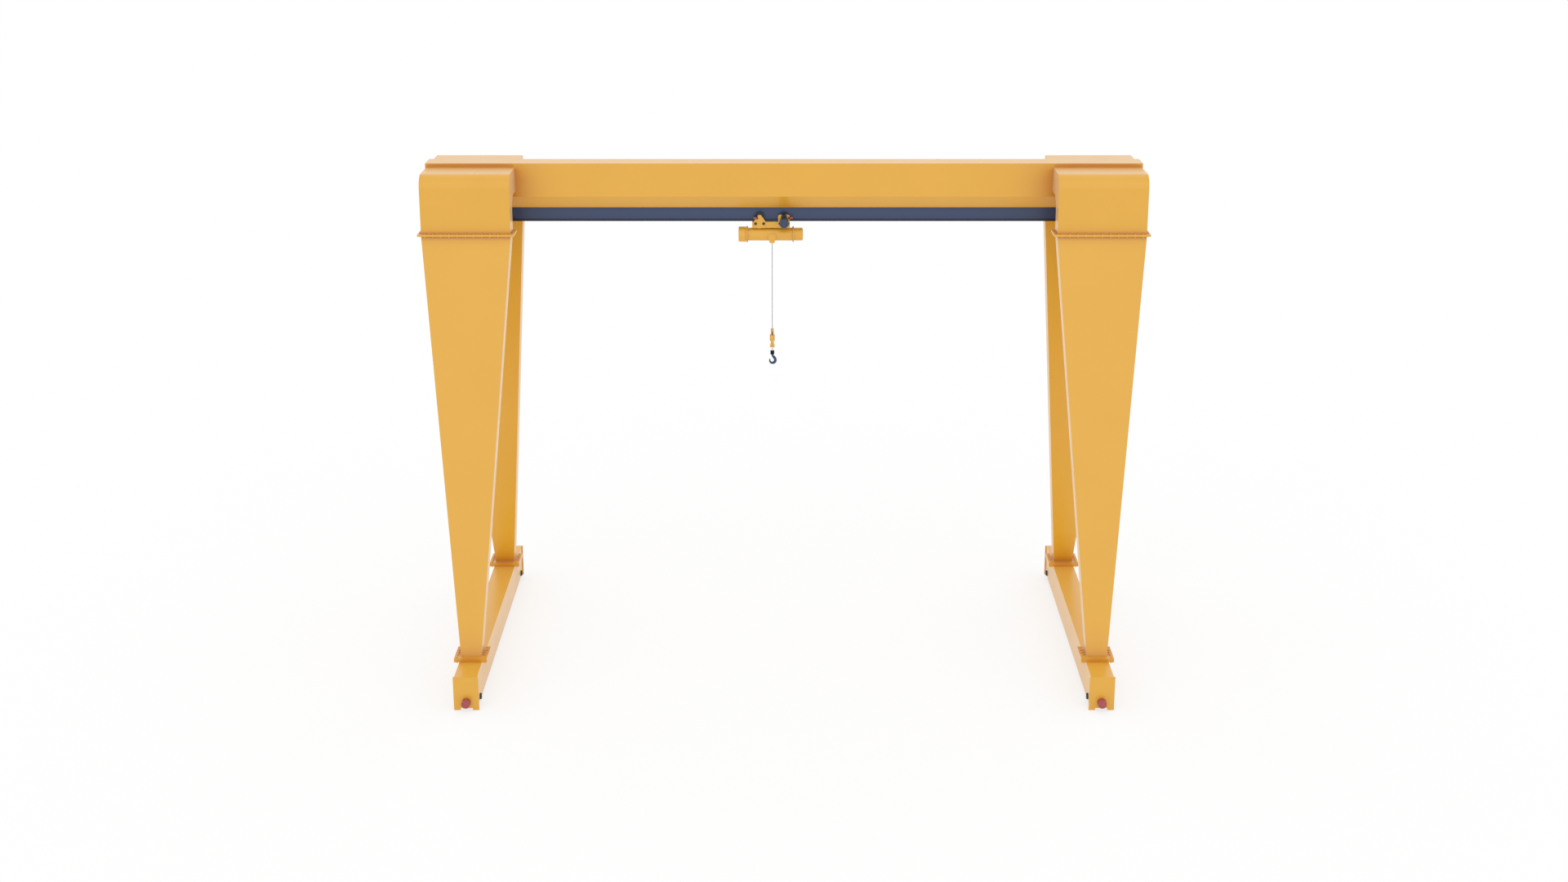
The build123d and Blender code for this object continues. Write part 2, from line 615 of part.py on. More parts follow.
def travel_drive():
    """Motor and gear case on the front of the driven pair of side plates."""
    motor_z = TROLLEY_AXLE_Z - TRAVEL_MOTOR_DROP
    back = PLATE_OUTER_Y + BOLT_HEAD_WALL
    front = back + GEAR_CASE_WALL
    low = Pos(DRIVE_AXLE, motor_z) * Circle(TRAVEL_MOTOR_RADIUS)
    neck = Pos(DRIVE_AXLE, motor_z + TRAVEL_MOTOR_DROP / 2) * Rectangle(2 * GEAR_CASE_NECK, TRAVEL_MOTOR_DROP)
    crown = Pos(DRIVE_AXLE, TROLLEY_AXLE_Z) * Circle(GEAR_CASE_NECK)
    case = Pos(0, -back, 0) * extrude(Plane.XZ * (low + neck + crown), amount=GEAR_CASE_WALL)
    save("travel_gear_case", case)

    motor = Cylinder(TRAVEL_MOTOR_RADIUS, TRAVEL_MOTOR_LENGTH)
    motor = fillet(motor.edges().group_by(Axis.Z)[-1], TRAVEL_MOTOR_EDGE)
    middle = -front - TRAVEL_MOTOR_LENGTH / 2
    save("travel_motor", Pos(DRIVE_AXLE, middle, motor_z) * Rot(90, 0, 0) * motor)


# Hoist
def hoist():
    left = ROPE_LINE - CASING_LEFT
    right = left + CASING_LENGTH
    casing = rod_x(CASING_RADIUS, left, right, 0, DRUM_Z)
    flange_left = left + DRUM_FLANGE_SETBACK
    flange = rod_x(DRUM_FLANGE_RADIUS, flange_left, flange_left + DRUM_FLANGE_WALL, 0, DRUM_Z)
    save("hoist_casing", casing + flange)

    gearbox = Cylinder(GEARBOX_RADIUS, GEARBOX_LENGTH)
    gearbox = fillet(gearbox.edges().group_by(Axis.Z)[-1], GEARBOX_EDGE)
    save("hoist_gearbox", Pos(left - GEARBOX_LENGTH / 2, 0, DRUM_Z) * Rot(0, -90, 0) * gearbox)

    motor_left = right + MOTOR_FLANGE_WALL
    motor = Cylinder(MOTOR_RADIUS, MOTOR_LENGTH)
    motor = fillet(motor.edges().group_by(Axis.Z)[-1], MOTOR_EDGE)
    motor = Pos(motor_left + MOTOR_LENGTH / 2, 0, DRUM_Z) * Rot(0, 90, 0) * motor
    save("hoist_motor", motor + rod_x(MOTOR_FLANGE_RADIUS, right, motor_left, 0, DRUM_Z))

    cheek_top = DRUM_Z + ROPE_GUIDE_RISE - (ROPE_GUIDE_WIDTH - ROPE_GUIDE_HEAD) / 2
    right_edge = [
        (ROPE_GUIDE_TOE / 2, ROPE_EXIT_Z),
        (ROPE_GUIDE_WIDTH / 2, cheek_top - ROPE_GUIDE_CHEEK),
        (ROPE_GUIDE_WIDTH / 2, cheek_top),
        (ROPE_GUIDE_HEAD / 2, DRUM_Z + ROPE_GUIDE_RISE),
    ]
    left_edge = [(-x, z) for x, z in reversed(right_edge)]
    shield = make_face(Polyline(*right_edge, *left_edge, close=True))
    shield = fillet(shield.vertices(), ROPE_GUIDE_CORNER)
    guide = extrude(Plane.XZ * shield, amount=ROPE_GUIDE_DEPTH / 2, both=True)
    save("rope_guide", Pos(ROPE_LINE, 0, 0) * guide - casing)


def rope():
    falls = []
    for y in ENDS.values():
        height = ROPE_EXIT_Z - SHEAVE_Z
        fall = Pos(ROPE_LINE, y * ROPE_SPREAD / 2, SHEAVE_Z + height / 2) * Cylinder(ROPE_RADIUS, height)
        falls.append(fall)
    save("hoist_rope", *falls)


# Hook block
def hook_block():
    wide = (ROPE_LINE - BLOCK_WIDTH / 2, ROPE_LINE + BLOCK_WIDTH / 2)
    hub = (ROPE_LINE - BLOCK_HUB_WIDTH / 2, ROPE_LINE + BLOCK_HUB_WIDTH / 2)
    cavity = (wide[0] + BLOCK_WALL, wide[1] - BLOCK_WALL)
    shell = rod_x(BLOCK_RADIUS, *wide, 0, SHEAVE_Z) + rod_x(BLOCK_HUB_RADIUS, *hub, 0, SHEAVE_Z)
    hollow = rod_x(BLOCK_RADIUS - BLOCK_WALL, *cavity, 0, SHEAVE_Z)
    depth = (-BLOCK_RADIUS, BLOCK_RADIUS)
    below = (SHEAVE_Z - BLOCK_RADIUS, CROSSHEAD_TOP)
    hollow -= slab(cavity, depth, (below[0], CROSSHEAD_TOP + BLOCK_WALL))
    shell = shell - slab(wide, depth, below) - hollow
    reach = ROPE_RADIUS + ROPE_SLOT_PLAY
    limits = (ROPE_LINE - reach, ROPE_LINE + reach)
    heights = (SHEAVE_Z + ROPE_SLOT_SILL, SHEAVE_Z + BLOCK_RADIUS)
    for y in ENDS.values():
        slot = sorted((y * (ROPE_SPREAD / 2 - ROPE_SLOT_REACH), y * BLOCK_RADIUS))
        shell -= slab(limits, slot, heights)
    save("hook_block_shell", shell)

    groove = ROPE_SPREAD / 2 - ROPE_RADIUS - ROLLING_GAP
    half = SHEAVE_WIDTH / 2
    pin_end = BLOCK_WIDTH / 2 - BLOCK_WALL
    right = [
        (SHEAVE_GROOVE_WIDTH / 2, groove),
        (half - SHEAVE_RIM_WALL, SHEAVE_RADIUS),
        (half, SHEAVE_RADIUS),
        (half, SHEAVE_BOSS_RADIUS),
        (pin_end, SHEAVE_BOSS_RADIUS),
        (pin_end, 0),
    ]
    left = [(-x, radius) for x, radius in reversed(right)]
    sheave = revolve(Plane.XZ * make_face(Polyline(*right, *left, close=True)), axis=Axis.X)
    save("hook_sheave", Pos(ROPE_LINE, 0, SHEAVE_Z) * sheave)

    crosshead_z = CROSSHEAD_TOP - CROSSHEAD_HEIGHT
    flare = Polyline(
        (-CROSSHEAD_WIDTH / 2, crosshead_z),
        (CROSSHEAD_WIDTH / 2, crosshead_z),
        (CROSSHEAD_WIDTH / 2, crosshead_z + CROSSHEAD_SKIRT),
        (BLOCK_WIDTH / 2, CROSSHEAD_TOP),
        (-BLOCK_WIDTH / 2, CROSSHEAD_TOP),
        (-CROSSHEAD_WIDTH / 2, crosshead_z + CROSSHEAD_SKIRT),
        close=True,
    )
    crosshead = extrude(Plane.XZ * make_face(flare), amount=CROSSHEAD_DEPTH / 2, both=True)
    crosshead -= Pos(0, 0, crosshead_z) * Cylinder(SHANK_RADIUS + RUNNING_FIT, 2 * CROSSHEAD_HEIGHT)
    save("hook_crosshead", Pos(ROPE_LINE, 0, 0) * crosshead)


def hook():
    shank_length = CROSSHEAD_HEIGHT + COLLAR_GAP
    shank = Pos(0, 0, COLLAR_TOP + shank_length / 2) * Cylinder(SHANK_RADIUS, shank_length)
    collar = Cylinder(COLLAR_RADIUS, COLLAR_HEIGHT)
    collar = chamfer(collar.edges().filter_by(GeomType.CIRCLE), COLLAR_CHAMFER)
    collar = Pos(0, 0, COLLAR_TOP - COLLAR_HEIGHT / 2) * collar

    collar_bottom = COLLAR_TOP - COLLAR_HEIGHT
    root = Line((0, COLLAR_TOP - COLLAR_HEIGHT / 2), (0, collar_bottom))
    neck = JernArc(root @ 1, root % 1, HOOK_NECK_BEND, HOOK_NECK_TURN)
    run = Line(neck @ 1, neck @ 1 + (neck % 1) * HOOK_NECK_RUN)
    back = JernArc(run @ 1, run % 1, HOOK_BACK_BEND, -90 - HOOK_NECK_TURN)
    toe = JernArc(back @ 1, back % 1, HOOK_TOE_BEND, -90)
    point = Line(toe @ 1, toe @ 1 + (toe % 1) * HOOK_POINT_RUN)
    stations = [
        (root, 0, HOOK_NECK_BAR),
        (root, 1, HOOK_NECK_BAR),
        (neck, 1, (HOOK_NECK_BAR + HOOK_BACK_BAR) / 2),
        (run, 1, HOOK_BACK_BAR),
        (back, 0.5, HOOK_BACK_BAR),
        (back, 1, HOOK_SEAT_BAR),
        (toe, 0.5, (HOOK_SEAT_BAR + HOOK_TOE_BAR) / 2),
        (toe, 1, HOOK_TOE_BAR),
        (point, 0.8, HOOK_POINT_BAR),
        (point, 1, HOOK_POINT_BAR / 2),
    ]
    sections = []
    for line, share, bar in stations:
        spot, heading = line @ share, line % share
        plane = Plane(origin=(spot.X, 0, spot.Y), x_dir=(0, 1, 0), z_dir=(heading.X, 0, heading.Y))
        sections.append(plane * Ellipse(HOOK_FLATNESS * bar / 2, bar / 2))
    save("hook", Pos(ROPE_LINE, 0, 0) * (shank + collar + loft(sections)))


girder_plates()
track()
saddles()
legs()
leg_flanges()
end_beams()
axle_caps()
rail_buffers()
rail_wheels()
trolley_frame()
hanger()
trolley_wheels()
trolley_buffers()
travel_drive()
hoist()
rope()
hook_block()
hook()
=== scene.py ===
import math

import bpy
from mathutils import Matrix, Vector


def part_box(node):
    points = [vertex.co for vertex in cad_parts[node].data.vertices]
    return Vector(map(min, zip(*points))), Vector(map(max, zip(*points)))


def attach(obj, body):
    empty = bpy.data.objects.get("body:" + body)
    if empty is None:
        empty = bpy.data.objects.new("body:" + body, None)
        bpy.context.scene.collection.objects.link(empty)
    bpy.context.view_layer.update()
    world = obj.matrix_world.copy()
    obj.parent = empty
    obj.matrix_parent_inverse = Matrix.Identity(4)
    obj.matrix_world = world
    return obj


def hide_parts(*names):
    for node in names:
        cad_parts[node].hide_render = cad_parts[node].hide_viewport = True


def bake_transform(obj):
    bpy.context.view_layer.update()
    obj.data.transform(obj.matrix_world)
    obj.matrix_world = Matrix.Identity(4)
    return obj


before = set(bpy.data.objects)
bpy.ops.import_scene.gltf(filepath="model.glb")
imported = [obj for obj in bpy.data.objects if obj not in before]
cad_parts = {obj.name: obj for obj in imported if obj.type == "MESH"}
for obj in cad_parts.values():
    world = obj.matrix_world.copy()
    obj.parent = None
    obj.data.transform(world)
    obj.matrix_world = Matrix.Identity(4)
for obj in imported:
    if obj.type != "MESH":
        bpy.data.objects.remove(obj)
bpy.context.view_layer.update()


# End beams: two welded boxes of steel plate that run on the ground rails and carry the legs.
# All structural plate is sprayed with a glossy yellow machine enamel. The end plates are held
# by fillet welds round the outside of the boxes, which are painted over.
def add(tree, kind, inputs, **settings):
    """Add a node to a tree; an input is a value, another node's output, or a list of outputs."""
    node = tree.nodes.new(kind)
    for label, value in settings.items():
        setattr(node, label, value)
    for key, value in inputs.items():
        for source in value if isinstance(value, list) else [value]:
            if isinstance(source, bpy.types.NodeSocket):
                tree.links.new(source, node.inputs[key])
            else:
                node.inputs[key].default_value = source
    return node.outputs


def tint(tree, factor, low, high):
    """Blend two (place, colour) stops along a factor from 0 to 1."""
    blend = add(tree, "ShaderNodeValToRGB", {"Fac": factor})[0]
    for stop, (place, colour) in zip(blend.node.color_ramp.elements, (low, high)):
        stop.position = place
        stop.color = (*colour, 1.0)
    return blend


def spread(tree, factor, low, high):
    """Stretch a factor from 0 to 1 over the range between low and high."""
    return add(tree, "ShaderNodeMapRange", {"Value": factor, "To Min": low, "To Max": high})[0]


def enamel(name, colour, shade, roughness, shine=0.5, bloom=0.0):
    """Sprayed enamel: the tone drifts slowly between colour and shade, over a fine orange peel.
    Its shine is the strength of its gloss, and it pales by its bloom at a low angle."""
    finish = bpy.data.materials.new(name)
    finish.use_nodes = True
    tree = finish.node_tree
    coat = tree.nodes["Principled BSDF"]
    coat.inputs["Specular IOR Level"].default_value = shine
    coat.inputs["Sheen Weight"].default_value = bloom
    coat.inputs["Sheen Roughness"].default_value = 0.3
    place = add(tree, "ShaderNodeTexCoord", {})["Object"]
    drift = add(tree, "ShaderNodeTexNoise", {"Vector": place, "Scale": 0.9, "Detail": 4.0})[0]
    tree.links.new(tint(tree, drift, (0.3, shade), (0.7, colour)), coat.inputs["Base Color"])
    gloss = add(tree, "ShaderNodeTexNoise", {"Vector": place, "Scale": 2.3, "Detail": 3.0})[0]
    tree.links.new(spread(tree, gloss, roughness - 0.05, roughness + 0.05), coat.inputs["Roughness"])
    peel = add(tree, "ShaderNodeTexNoise", {"Vector": place, "Scale": 210.0, "Detail": 1.0})[0]
    bump = add(tree, "ShaderNodeBump", {"Height": peel, "Strength": 0.12, "Distance": 0.0008})[0]
    tree.links.new(bump, coat.inputs["Normal"])
    return finish


def paint(finish, *nodes):
    """Give carried-over CAD pieces one finish."""
    for node in nodes:
        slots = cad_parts[node].data.materials
        slots.clear()
        slots.append(finish)


def start_tree(name, sizes):
    """Open a Geometry Nodes tree that takes a layout, named sizes and a finish."""
    tree = bpy.data.node_groups.new(name, "GeometryNodeTree")
    sockets = tree.interface
    sockets.new_socket("Layout", in_out="INPUT", socket_type="NodeSocketGeometry")
    for label in sizes:
        sockets.new_socket(label, in_out="INPUT", socket_type="NodeSocketFloat")
    sockets.new_socket("Finish", in_out="INPUT", socket_type="NodeSocketMaterial")
    sockets.new_socket("Piece", in_out="OUTPUT", socket_type="NodeSocketGeometry")
    return tree, add(tree, "NodeGroupInput", {})


def end_tree(tree, shape, given):
    """Close a tree: real geometry in place of instances, in the given finish."""
    whole = add(tree, "GeometryNodeRealizeInstances", {"Geometry": shape})[0]
    dressed = add(tree, "GeometryNodeSetMaterial", {"Geometry": whole, "Material": given["Finish"]})[0]
    add(tree, "NodeGroupOutput", {"Piece": dressed})


def layout(name, runs):
    """A new piece of bare points, joined into lines along each run."""
    points, edges = [], []
    for run in runs:
        edges += [(len(points) + step, len(points) + step + 1) for step in range(len(run) - 1)]
        points += [tuple(point) for point in run]
    mesh = bpy.data.meshes.new(name)
    mesh.from_pydata(points, edges, [])
    piece = bpy.data.objects.new(name, mesh)
    bpy.context.scene.collection.objects.link(piece)
    return piece


def grow(piece, tree, finish, **sizes):
    """Run a tree on a layout and keep the result as the piece's own plain mesh."""
    modifier = piece.modifiers.new(tree.name, "NODES")
    modifier.node_group = tree
    inputs = [item for item in tree.interface.items_tree if item.in_out == "INPUT"]
    identifiers = {item.name: item.identifier for item in inputs}
    modifier[identifiers["Finish"]] = finish
    for label, value in sizes.items():
        modifier[identifiers[label.replace("_", " ").title()]] = value
    depsgraph = bpy.context.evaluated_depsgraph_get()
    mesh = bpy.data.meshes.new_from_object(piece.evaluated_get(depsgraph))
    piece.modifiers.clear()
    piece.data = mesh
    return piece


def weld_tree():
    """A fillet weld along every line of the layout: a round bead whose ripples vary a little."""
    tree, given = start_tree("weld_bead", ["Bead", "Ripple Pitch", "Ripple"])
    path = add(tree, "GeometryNodeMeshToCurve", {"Mesh": given["Layout"]})[0]
    steps = add(tree, "GeometryNodeResampleCurve",
                {"Curve": path, "Length": given["Ripple Pitch"]}, mode="LENGTH")[0]
    least = add(tree, "ShaderNodeMath", {0: 1.0, 1: given["Ripple"]}, operation="SUBTRACT")[0]
    most = add(tree, "ShaderNodeMath", {0: 1.0, 1: given["Ripple"]}, operation="ADD")[0]
    swell = add(tree, "FunctionNodeRandomValue", {2: least, 3: most, "Seed": 7}, data_type="FLOAT")[1]
    beads = add(tree, "GeometryNodeSetCurveRadius", {"Curve": steps, "Radius": swell})[0]
    section = add(tree, "GeometryNodeCurvePrimitiveCircle", {"Resolution": 6, "Radius": given["Bead"]})[0]
    tube = add(tree, "GeometryNodeCurveToMesh",
               {"Curve": beads, "Profile Curve": section, "Fill Caps": True})[0]
    smooth = add(tree, "GeometryNodeSetShadeSmooth", {"Geometry": tube})[0]
    end_tree(tree, smooth, given)
    return tree


def weld(name, seams, finish, bead, ripple_pitch):
    """Fillet welds along seams of the steel structure; a seam is a list of points."""
    piece = layout(name, seams)
    grow(piece, weld_bead, finish, bead=bead, ripple_pitch=ripple_pitch, ripple=RIPPLE)
    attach(piece, "gantry")


YELLOW = (0.785, 0.402, 0.02)
YELLOW_SHADE = (0.765, 0.386, 0.018)
yellow_enamel = enamel("yellow_enamel", YELLOW, YELLOW_SHADE, 0.3, shine=0.9, bloom=0.4)
paint(yellow_enamel, "end_beam_top_plates", "end_beam_side_plates", "end_beam_bottom_plates",
      "end_beam_end_plates")

weld_bead = weld_tree()
RIPPLE = 0.18
RIPPLE_PITCH = 0.014
BEAM_BEAD = 0.006
beam_low, beam_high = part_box("end_beam_side_plates")
rail_x = (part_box("rail_wheel_front_right")[0].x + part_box("rail_wheel_front_right")[1].x) / 2
beam_half_width = beam_high.x - rail_x
beam_seams = []
for side in (-1, 1):
    faces = [side * rail_x - beam_half_width, side * rail_x + beam_half_width]
    for y in (beam_low.y, beam_high.y):
        corners = [(faces[0], beam_low.z), (faces[0], beam_high.z),
                   (faces[1], beam_high.z), (faces[1], beam_low.z)]
        beam_seams.append([(x, y, z) for x, z in corners])
weld("end_beam_welds", beam_seams, yellow_enamel, BEAM_BEAD, RIPPLE_PITCH)


# Rail wheels: cast steel discs with a flange each side, turning on axles through the beam's sides.
# Rolling keeps their treads and flanges bright. Blackened caps, held by four hex screws each,
# close the bearings on both sides of the beams.
def worn_steel(name, centre, axle, tread):
    """Dark cast steel, polished by rolling from the radius of the tread outwards, round the axle."""
    finish = bpy.data.materials.new(name)
    finish.use_nodes = True
    tree = finish.node_tree
    metal = tree.nodes["Principled BSDF"]
    metal.inputs["Metallic"].default_value = 1.0
    place = add(tree, "ShaderNodeTexCoord", {})["Object"]
    about = add(tree, "ShaderNodeMapping", {"Vector": place, "Location": tuple(-centre)})[0]
    across = tuple(1.0 - abs(part) for part in axle)
    radial = add(tree, "ShaderNodeVectorMath", {0: about, 1: across}, operation="MULTIPLY")[0]
    radius = add(tree, "ShaderNodeVectorMath", {0: radial}, operation="LENGTH")["Value"]
    rolled = add(tree, "ShaderNodeMath", {0: radius, 1: tread - ROLLED_EDGE}, operation="GREATER_THAN")[0]
    outward = add(tree, "ShaderNodeNewGeometry", {})["Normal"]
    sideways = add(tree, "ShaderNodeVectorMath", {0: outward, 1: axle}, operation="DOT_PRODUCT")["Value"]
    tilt = add(tree, "ShaderNodeMath", {0: sideways}, operation="ABSOLUTE")[0]
    rim = add(tree, "ShaderNodeMath", {0: tilt, 1: 0.5}, operation="LESS_THAN")[0]
    worn = add(tree, "ShaderNodeMath", {0: rolled, 1: rim}, operation="MULTIPLY")[0]
    tree.links.new(tint(tree, worn, (0.0, CAST_TONE), (1.0, ROLLED_TONE)), metal.inputs["Base Color"])
    tree.links.new(spread(tree, worn, 0.55, 0.28), metal.inputs["Roughness"])
    cast = add(tree, "ShaderNodeTexNoise", {"Vector": place, "Scale": 160.0, "Detail": 3.0})[0]
    bump = add(tree, "ShaderNodeBump", {"Height": cast, "Strength": 0.25, "Distance": 0.001})[0]
    tree.links.new(bump, metal.inputs["Normal"])
    return finish


def black_steel(name, colour, shade, roughness):
    """Oil-blackened steel with a faint mottle between colour and shade."""
    finish = bpy.data.materials.new(name)
    finish.use_nodes = True
    tree = finish.node_tree
    metal = tree.nodes["Principled BSDF"]
    metal.inputs["Metallic"].default_value = 0.7
    place = add(tree, "ShaderNodeTexCoord", {})["Object"]
    mottle = add(tree, "ShaderNodeTexNoise", {"Vector": place, "Scale": 45.0, "Detail": 4.0})[0]
    tree.links.new(tint(tree, mottle, (0.3, shade), (0.7, colour)), metal.inputs["Base Color"])
    tree.links.new(spread(tree, mottle, roughness - 0.08, roughness + 0.08), metal.inputs["Roughness"])
    return finish


def hex_tree():
    """A hex head or nut on a washer at every point, along the point's facing, with a thread end."""
    tree, given = start_tree("hex_fixings", ["Hex Radius", "Hex Height", "Thread End"])

    def scaled(size, share):
        return add(tree, "ShaderNodeMath", {0: size, 1: share}, operation="MULTIPLY")[0]

    def disc(sides, radius, height, base):
        shape = add(tree, "GeometryNodeMeshCylinder",
                    {"Vertices": sides, "Radius": radius, "Depth": height})[0]
        half = scaled(height, 0.5)
        middle = add(tree, "ShaderNodeMath", {0: base, 1: half}, operation="ADD")[0]
        lift = add(tree, "ShaderNodeCombineXYZ", {"Z": middle})[0]
        return add(tree, "GeometryNodeTransform", {"Geometry": shape, "Translation": lift})[0]

    washer_height = scaled(given["Hex Radius"], 0.18)
    washer = disc(16, scaled(given["Hex Radius"], 1.12), washer_height, 0.0)
    hexagon = disc(6, given["Hex Radius"], given["Hex Height"], washer_height)
    top = add(tree, "ShaderNodeMath", {0: washer_height, 1: given["Hex Height"]}, operation="ADD")[0]
    thread = disc(12, scaled(given["Hex Radius"], 0.55), given["Thread End"], top)
    fixing = add(tree, "GeometryNodeJoinGeometry", {"Geometry": [washer, hexagon, thread]})[0]
    facing = add(tree, "GeometryNodeInputNamedAttribute", {"Name": "facing"}, data_type="FLOAT_VECTOR")[0]
    turned = add(tree, "FunctionNodeAlignRotationToVector", {"Vector": facing})[0]
    placed = add(tree, "GeometryNodeInstanceOnPoints",
                 {"Points": given["Layout"], "Instance": fixing, "Rotation": turned})[0]
    chance = add(tree, "FunctionNodeRandomValue", {2: 0.0, 3: math.pi / 3, "Seed": 3}, data_type="FLOAT")[1]
    spin = add(tree, "ShaderNodeCombineXYZ", {"Z": chance})[0]
    spun = add(tree, "GeometryNodeRotateInstances", {"Instances": placed, "Rotation": spin})[0]
    end_tree(tree, spun, given)
    return tree


def fasten(name, body, finish, places, hex_radius, hex_height, thread_end):
    """Hex fixings of one size on a body; a place is a point and the way that it faces."""
    piece = layout(name, [[point] for point, facing in places])
    facings = piece.data.attributes.new("facing", "FLOAT_VECTOR", "POINT")
    for entry, (point, facing) in zip(facings.data, places):
        entry.vector = facing
    grow(piece, hex_fixings, finish, hex_radius=hex_radius, hex_height=hex_height, thread_end=thread_end)
    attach(piece, body)


def bolt_ring(centre, facing, radius, count):
    """Places of evenly spaced fixings on a circle round a centre, in a plane across X."""
    places = []
    for step in range(count):
        angle = math.tau * (step + 0.5) / count
        places.append((centre + Vector((0, radius * math.cos(angle), radius * math.sin(angle))), facing))
    return places


def middle_of(node):
    """The middle of a CAD node's box."""
    low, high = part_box(node)
    return (low + high) / 2


hex_fixings = hex_tree()
BLACK = (0.06, 0.065, 0.076)
BLACK_SHADE = (0.035, 0.038, 0.046)
blackened = black_steel("blackened_steel", BLACK, BLACK_SHADE, 0.42)
paint(blackened, "axle_caps")

CAST_TONE = (0.05, 0.053, 0.06)
ROLLED_TONE = (0.46, 0.47, 0.48)
ROLLED_EDGE = 0.002
WHEEL_TREAD = 0.135
CAP_BOLT_RING = 0.042
CAP_BOLTS = 4
CORNERS = [(end, side) for end in ("front", "rear") for side in ("left", "right")]
cap_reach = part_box("axle_caps")[1].x - rail_x
cap_places = []
for end, side in CORNERS:
    wheel = f"rail_wheel_{end}_{side}"
    hub = middle_of(wheel)
    paint(worn_steel(f"{wheel}_steel", hub, (1, 0, 0), WHEEL_TREAD), wheel)
    for way in (-1, 1):
        cap_face = hub + Vector((way * cap_reach, 0, 0))
        cap_places += bolt_ring(cap_face, (way, 0, 0), CAP_BOLT_RING, CAP_BOLTS)
fasten("axle_cap_screws", "gantry", blackened, cap_places,
       hex_radius=0.009, hex_height=0.006, thread_end=0.001)


# Rail buffers: round pads of red polyurethane rubber, moulded and bolted to the end plates,
# that meet the stops at the ends of the rails. Their sides are matt, with a slight bloom.
def moulded_rubber(name, colour, shade):
    """Matt moulded rubber with a mottled bloom and a fine grain."""
    finish = bpy.data.materials.new(name)
    finish.use_nodes = True
    tree = finish.node_tree
    rubber = tree.nodes["Principled BSDF"]
    rubber.inputs["Specular IOR Level"].default_value = 0.4
    place = add(tree, "ShaderNodeTexCoord", {})["Object"]
    bloom = add(tree, "ShaderNodeTexNoise", {"Vector": place, "Scale": 28.0, "Detail": 5.0})[0]
    tree.links.new(tint(tree, bloom, (0.32, shade), (0.68, colour)), rubber.inputs["Base Color"])
    tree.links.new(spread(tree, bloom, 0.62, 0.48), rubber.inputs["Roughness"])
    grain = add(tree, "ShaderNodeTexNoise", {"Vector": place, "Scale": 420.0, "Detail": 2.0})[0]
    bump = add(tree, "ShaderNodeBump", {"Height": grain, "Strength": 0.2, "Distance": 0.0006})[0]
    tree.links.new(bump, rubber.inputs["Normal"])
    return finish


RED = (0.44, 0.1, 0.105)
RED_SHADE = (0.36, 0.075, 0.075)
red_rubber = moulded_rubber("red_rubber", RED, RED_SHADE)
paint(red_rubber, "rail_buffers")


# Legs: four tapered boxes of welded plate, wide at the head and leaning in to the girder.
# Each stands on a seat welded to its end beam, through a pair of thick flanges,
# and is welded to its flanges all round.
def section_ring(node, axis, place):
    """The closed outline of a boxed CAD node where it ends on a plane, as its four outer corners."""
    points = [vertex.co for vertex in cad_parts[node].data.vertices]
    ends = [point for point in points if abs(point[axis] - place) < SAME_PLANE]
    first, second = [other for other in range(3) if other != axis]
    low = [min(point[i] for point in ends) for i in range(3)]
    high = [max(point[i] for point in ends) for i in range(3)]
    corners = []
    for pick_first, pick_second in ((low, low), (high, low), (high, high), (low, high), (low, low)):
        corner = Vector(low)
        corner[first] = pick_first[first]
        corner[second] = pick_second[second]
        corners.append(corner)
    return corners


def cover(finish, share, colour):
    """Lay a colour over a finish's tone, by a share from 0 to 1."""
    tree = finish.node_tree
    tone = tree.nodes["Principled BSDF"].inputs["Base Color"]
    below = tone.links[0].from_socket
    mixed = add(tree, "ShaderNodeMixRGB", {"Fac": share, "Color1": below, "Color2": (*colour, 1.0)})[0]
    tree.links.new(mixed, tone)


def paint_corner_shade(finish, colour, reach):
    """Paint shade into a finish's tone: deepen it towards a colour in the inner corners, where ambient
    occlusion finds them within a reach.
    """
    openness = add(finish.node_tree, "ShaderNodeAmbientOcclusion", {"Distance": reach}, samples=8)["AO"]
    shade_share = add(finish.node_tree, "ShaderNodeMapRange",
               {"Value": openness, "From Min": 0.4, "From Max": 0.95, "To Min": 1.0, "To Max": 0.0})[0]
    cover(finish, shade_share, colour)


SAME_PLANE = 0.0001
# Painted shade: the frame's enamel is deepened towards dark orange in its inner corners and creases, by
# ambient occlusion.
CORNER_SHADE = (0.56, 0.19, 0.006)
CORNER_SHADE_REACH = 0.8
frame_enamel = enamel("frame_enamel", YELLOW, YELLOW_SHADE, 0.3, shine=0.9, bloom=0.4)
paint_corner_shade(frame_enamel, CORNER_SHADE, CORNER_SHADE_REACH)
legs = [f"leg_{end}_{side}" for end, side in CORNERS]
paint(frame_enamel, "leg_foot_flanges", "beam_seats", *legs)
LEG_BEAD = 0.007
leg_seams = []
for leg in legs:
    low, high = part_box(leg)
    leg_seams += [section_ring(leg, 2, low.z), section_ring(leg, 2, high.z)]
weld("leg_welds", leg_seams, frame_enamel, LEG_BEAD, RIPPLE_PITCH)

FOOT_BOLT_OFFSET = 0.265
FOOT_BOLT_PITCH = 0.12
FOOT_BOLTS_A_SIDE = 5
foot_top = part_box("leg_foot_flanges")[1].z
foot_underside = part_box("beam_seats")[0].z
foot_heads, foot_nuts = [], []
for leg in legs:
    foot = sum(section_ring(leg, 2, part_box(leg)[0].z)[:4], Vector()) / 4
    for way in (-1, 1):
        for step in range(FOOT_BOLTS_A_SIDE):
            along = (step - (FOOT_BOLTS_A_SIDE - 1) / 2) * FOOT_BOLT_PITCH
            x, y = foot.x + way * FOOT_BOLT_OFFSET, foot.y + along
            foot_heads.append((Vector((x, y, foot_top)), (0, 0, 1)))
            foot_nuts.append((Vector((x, y, foot_underside)), (0, 0, -1)))
fasten("foot_flange_bolts", "gantry", yellow_enamel, foot_heads,
       hex_radius=0.0208, hex_height=0.015, thread_end=0.001)
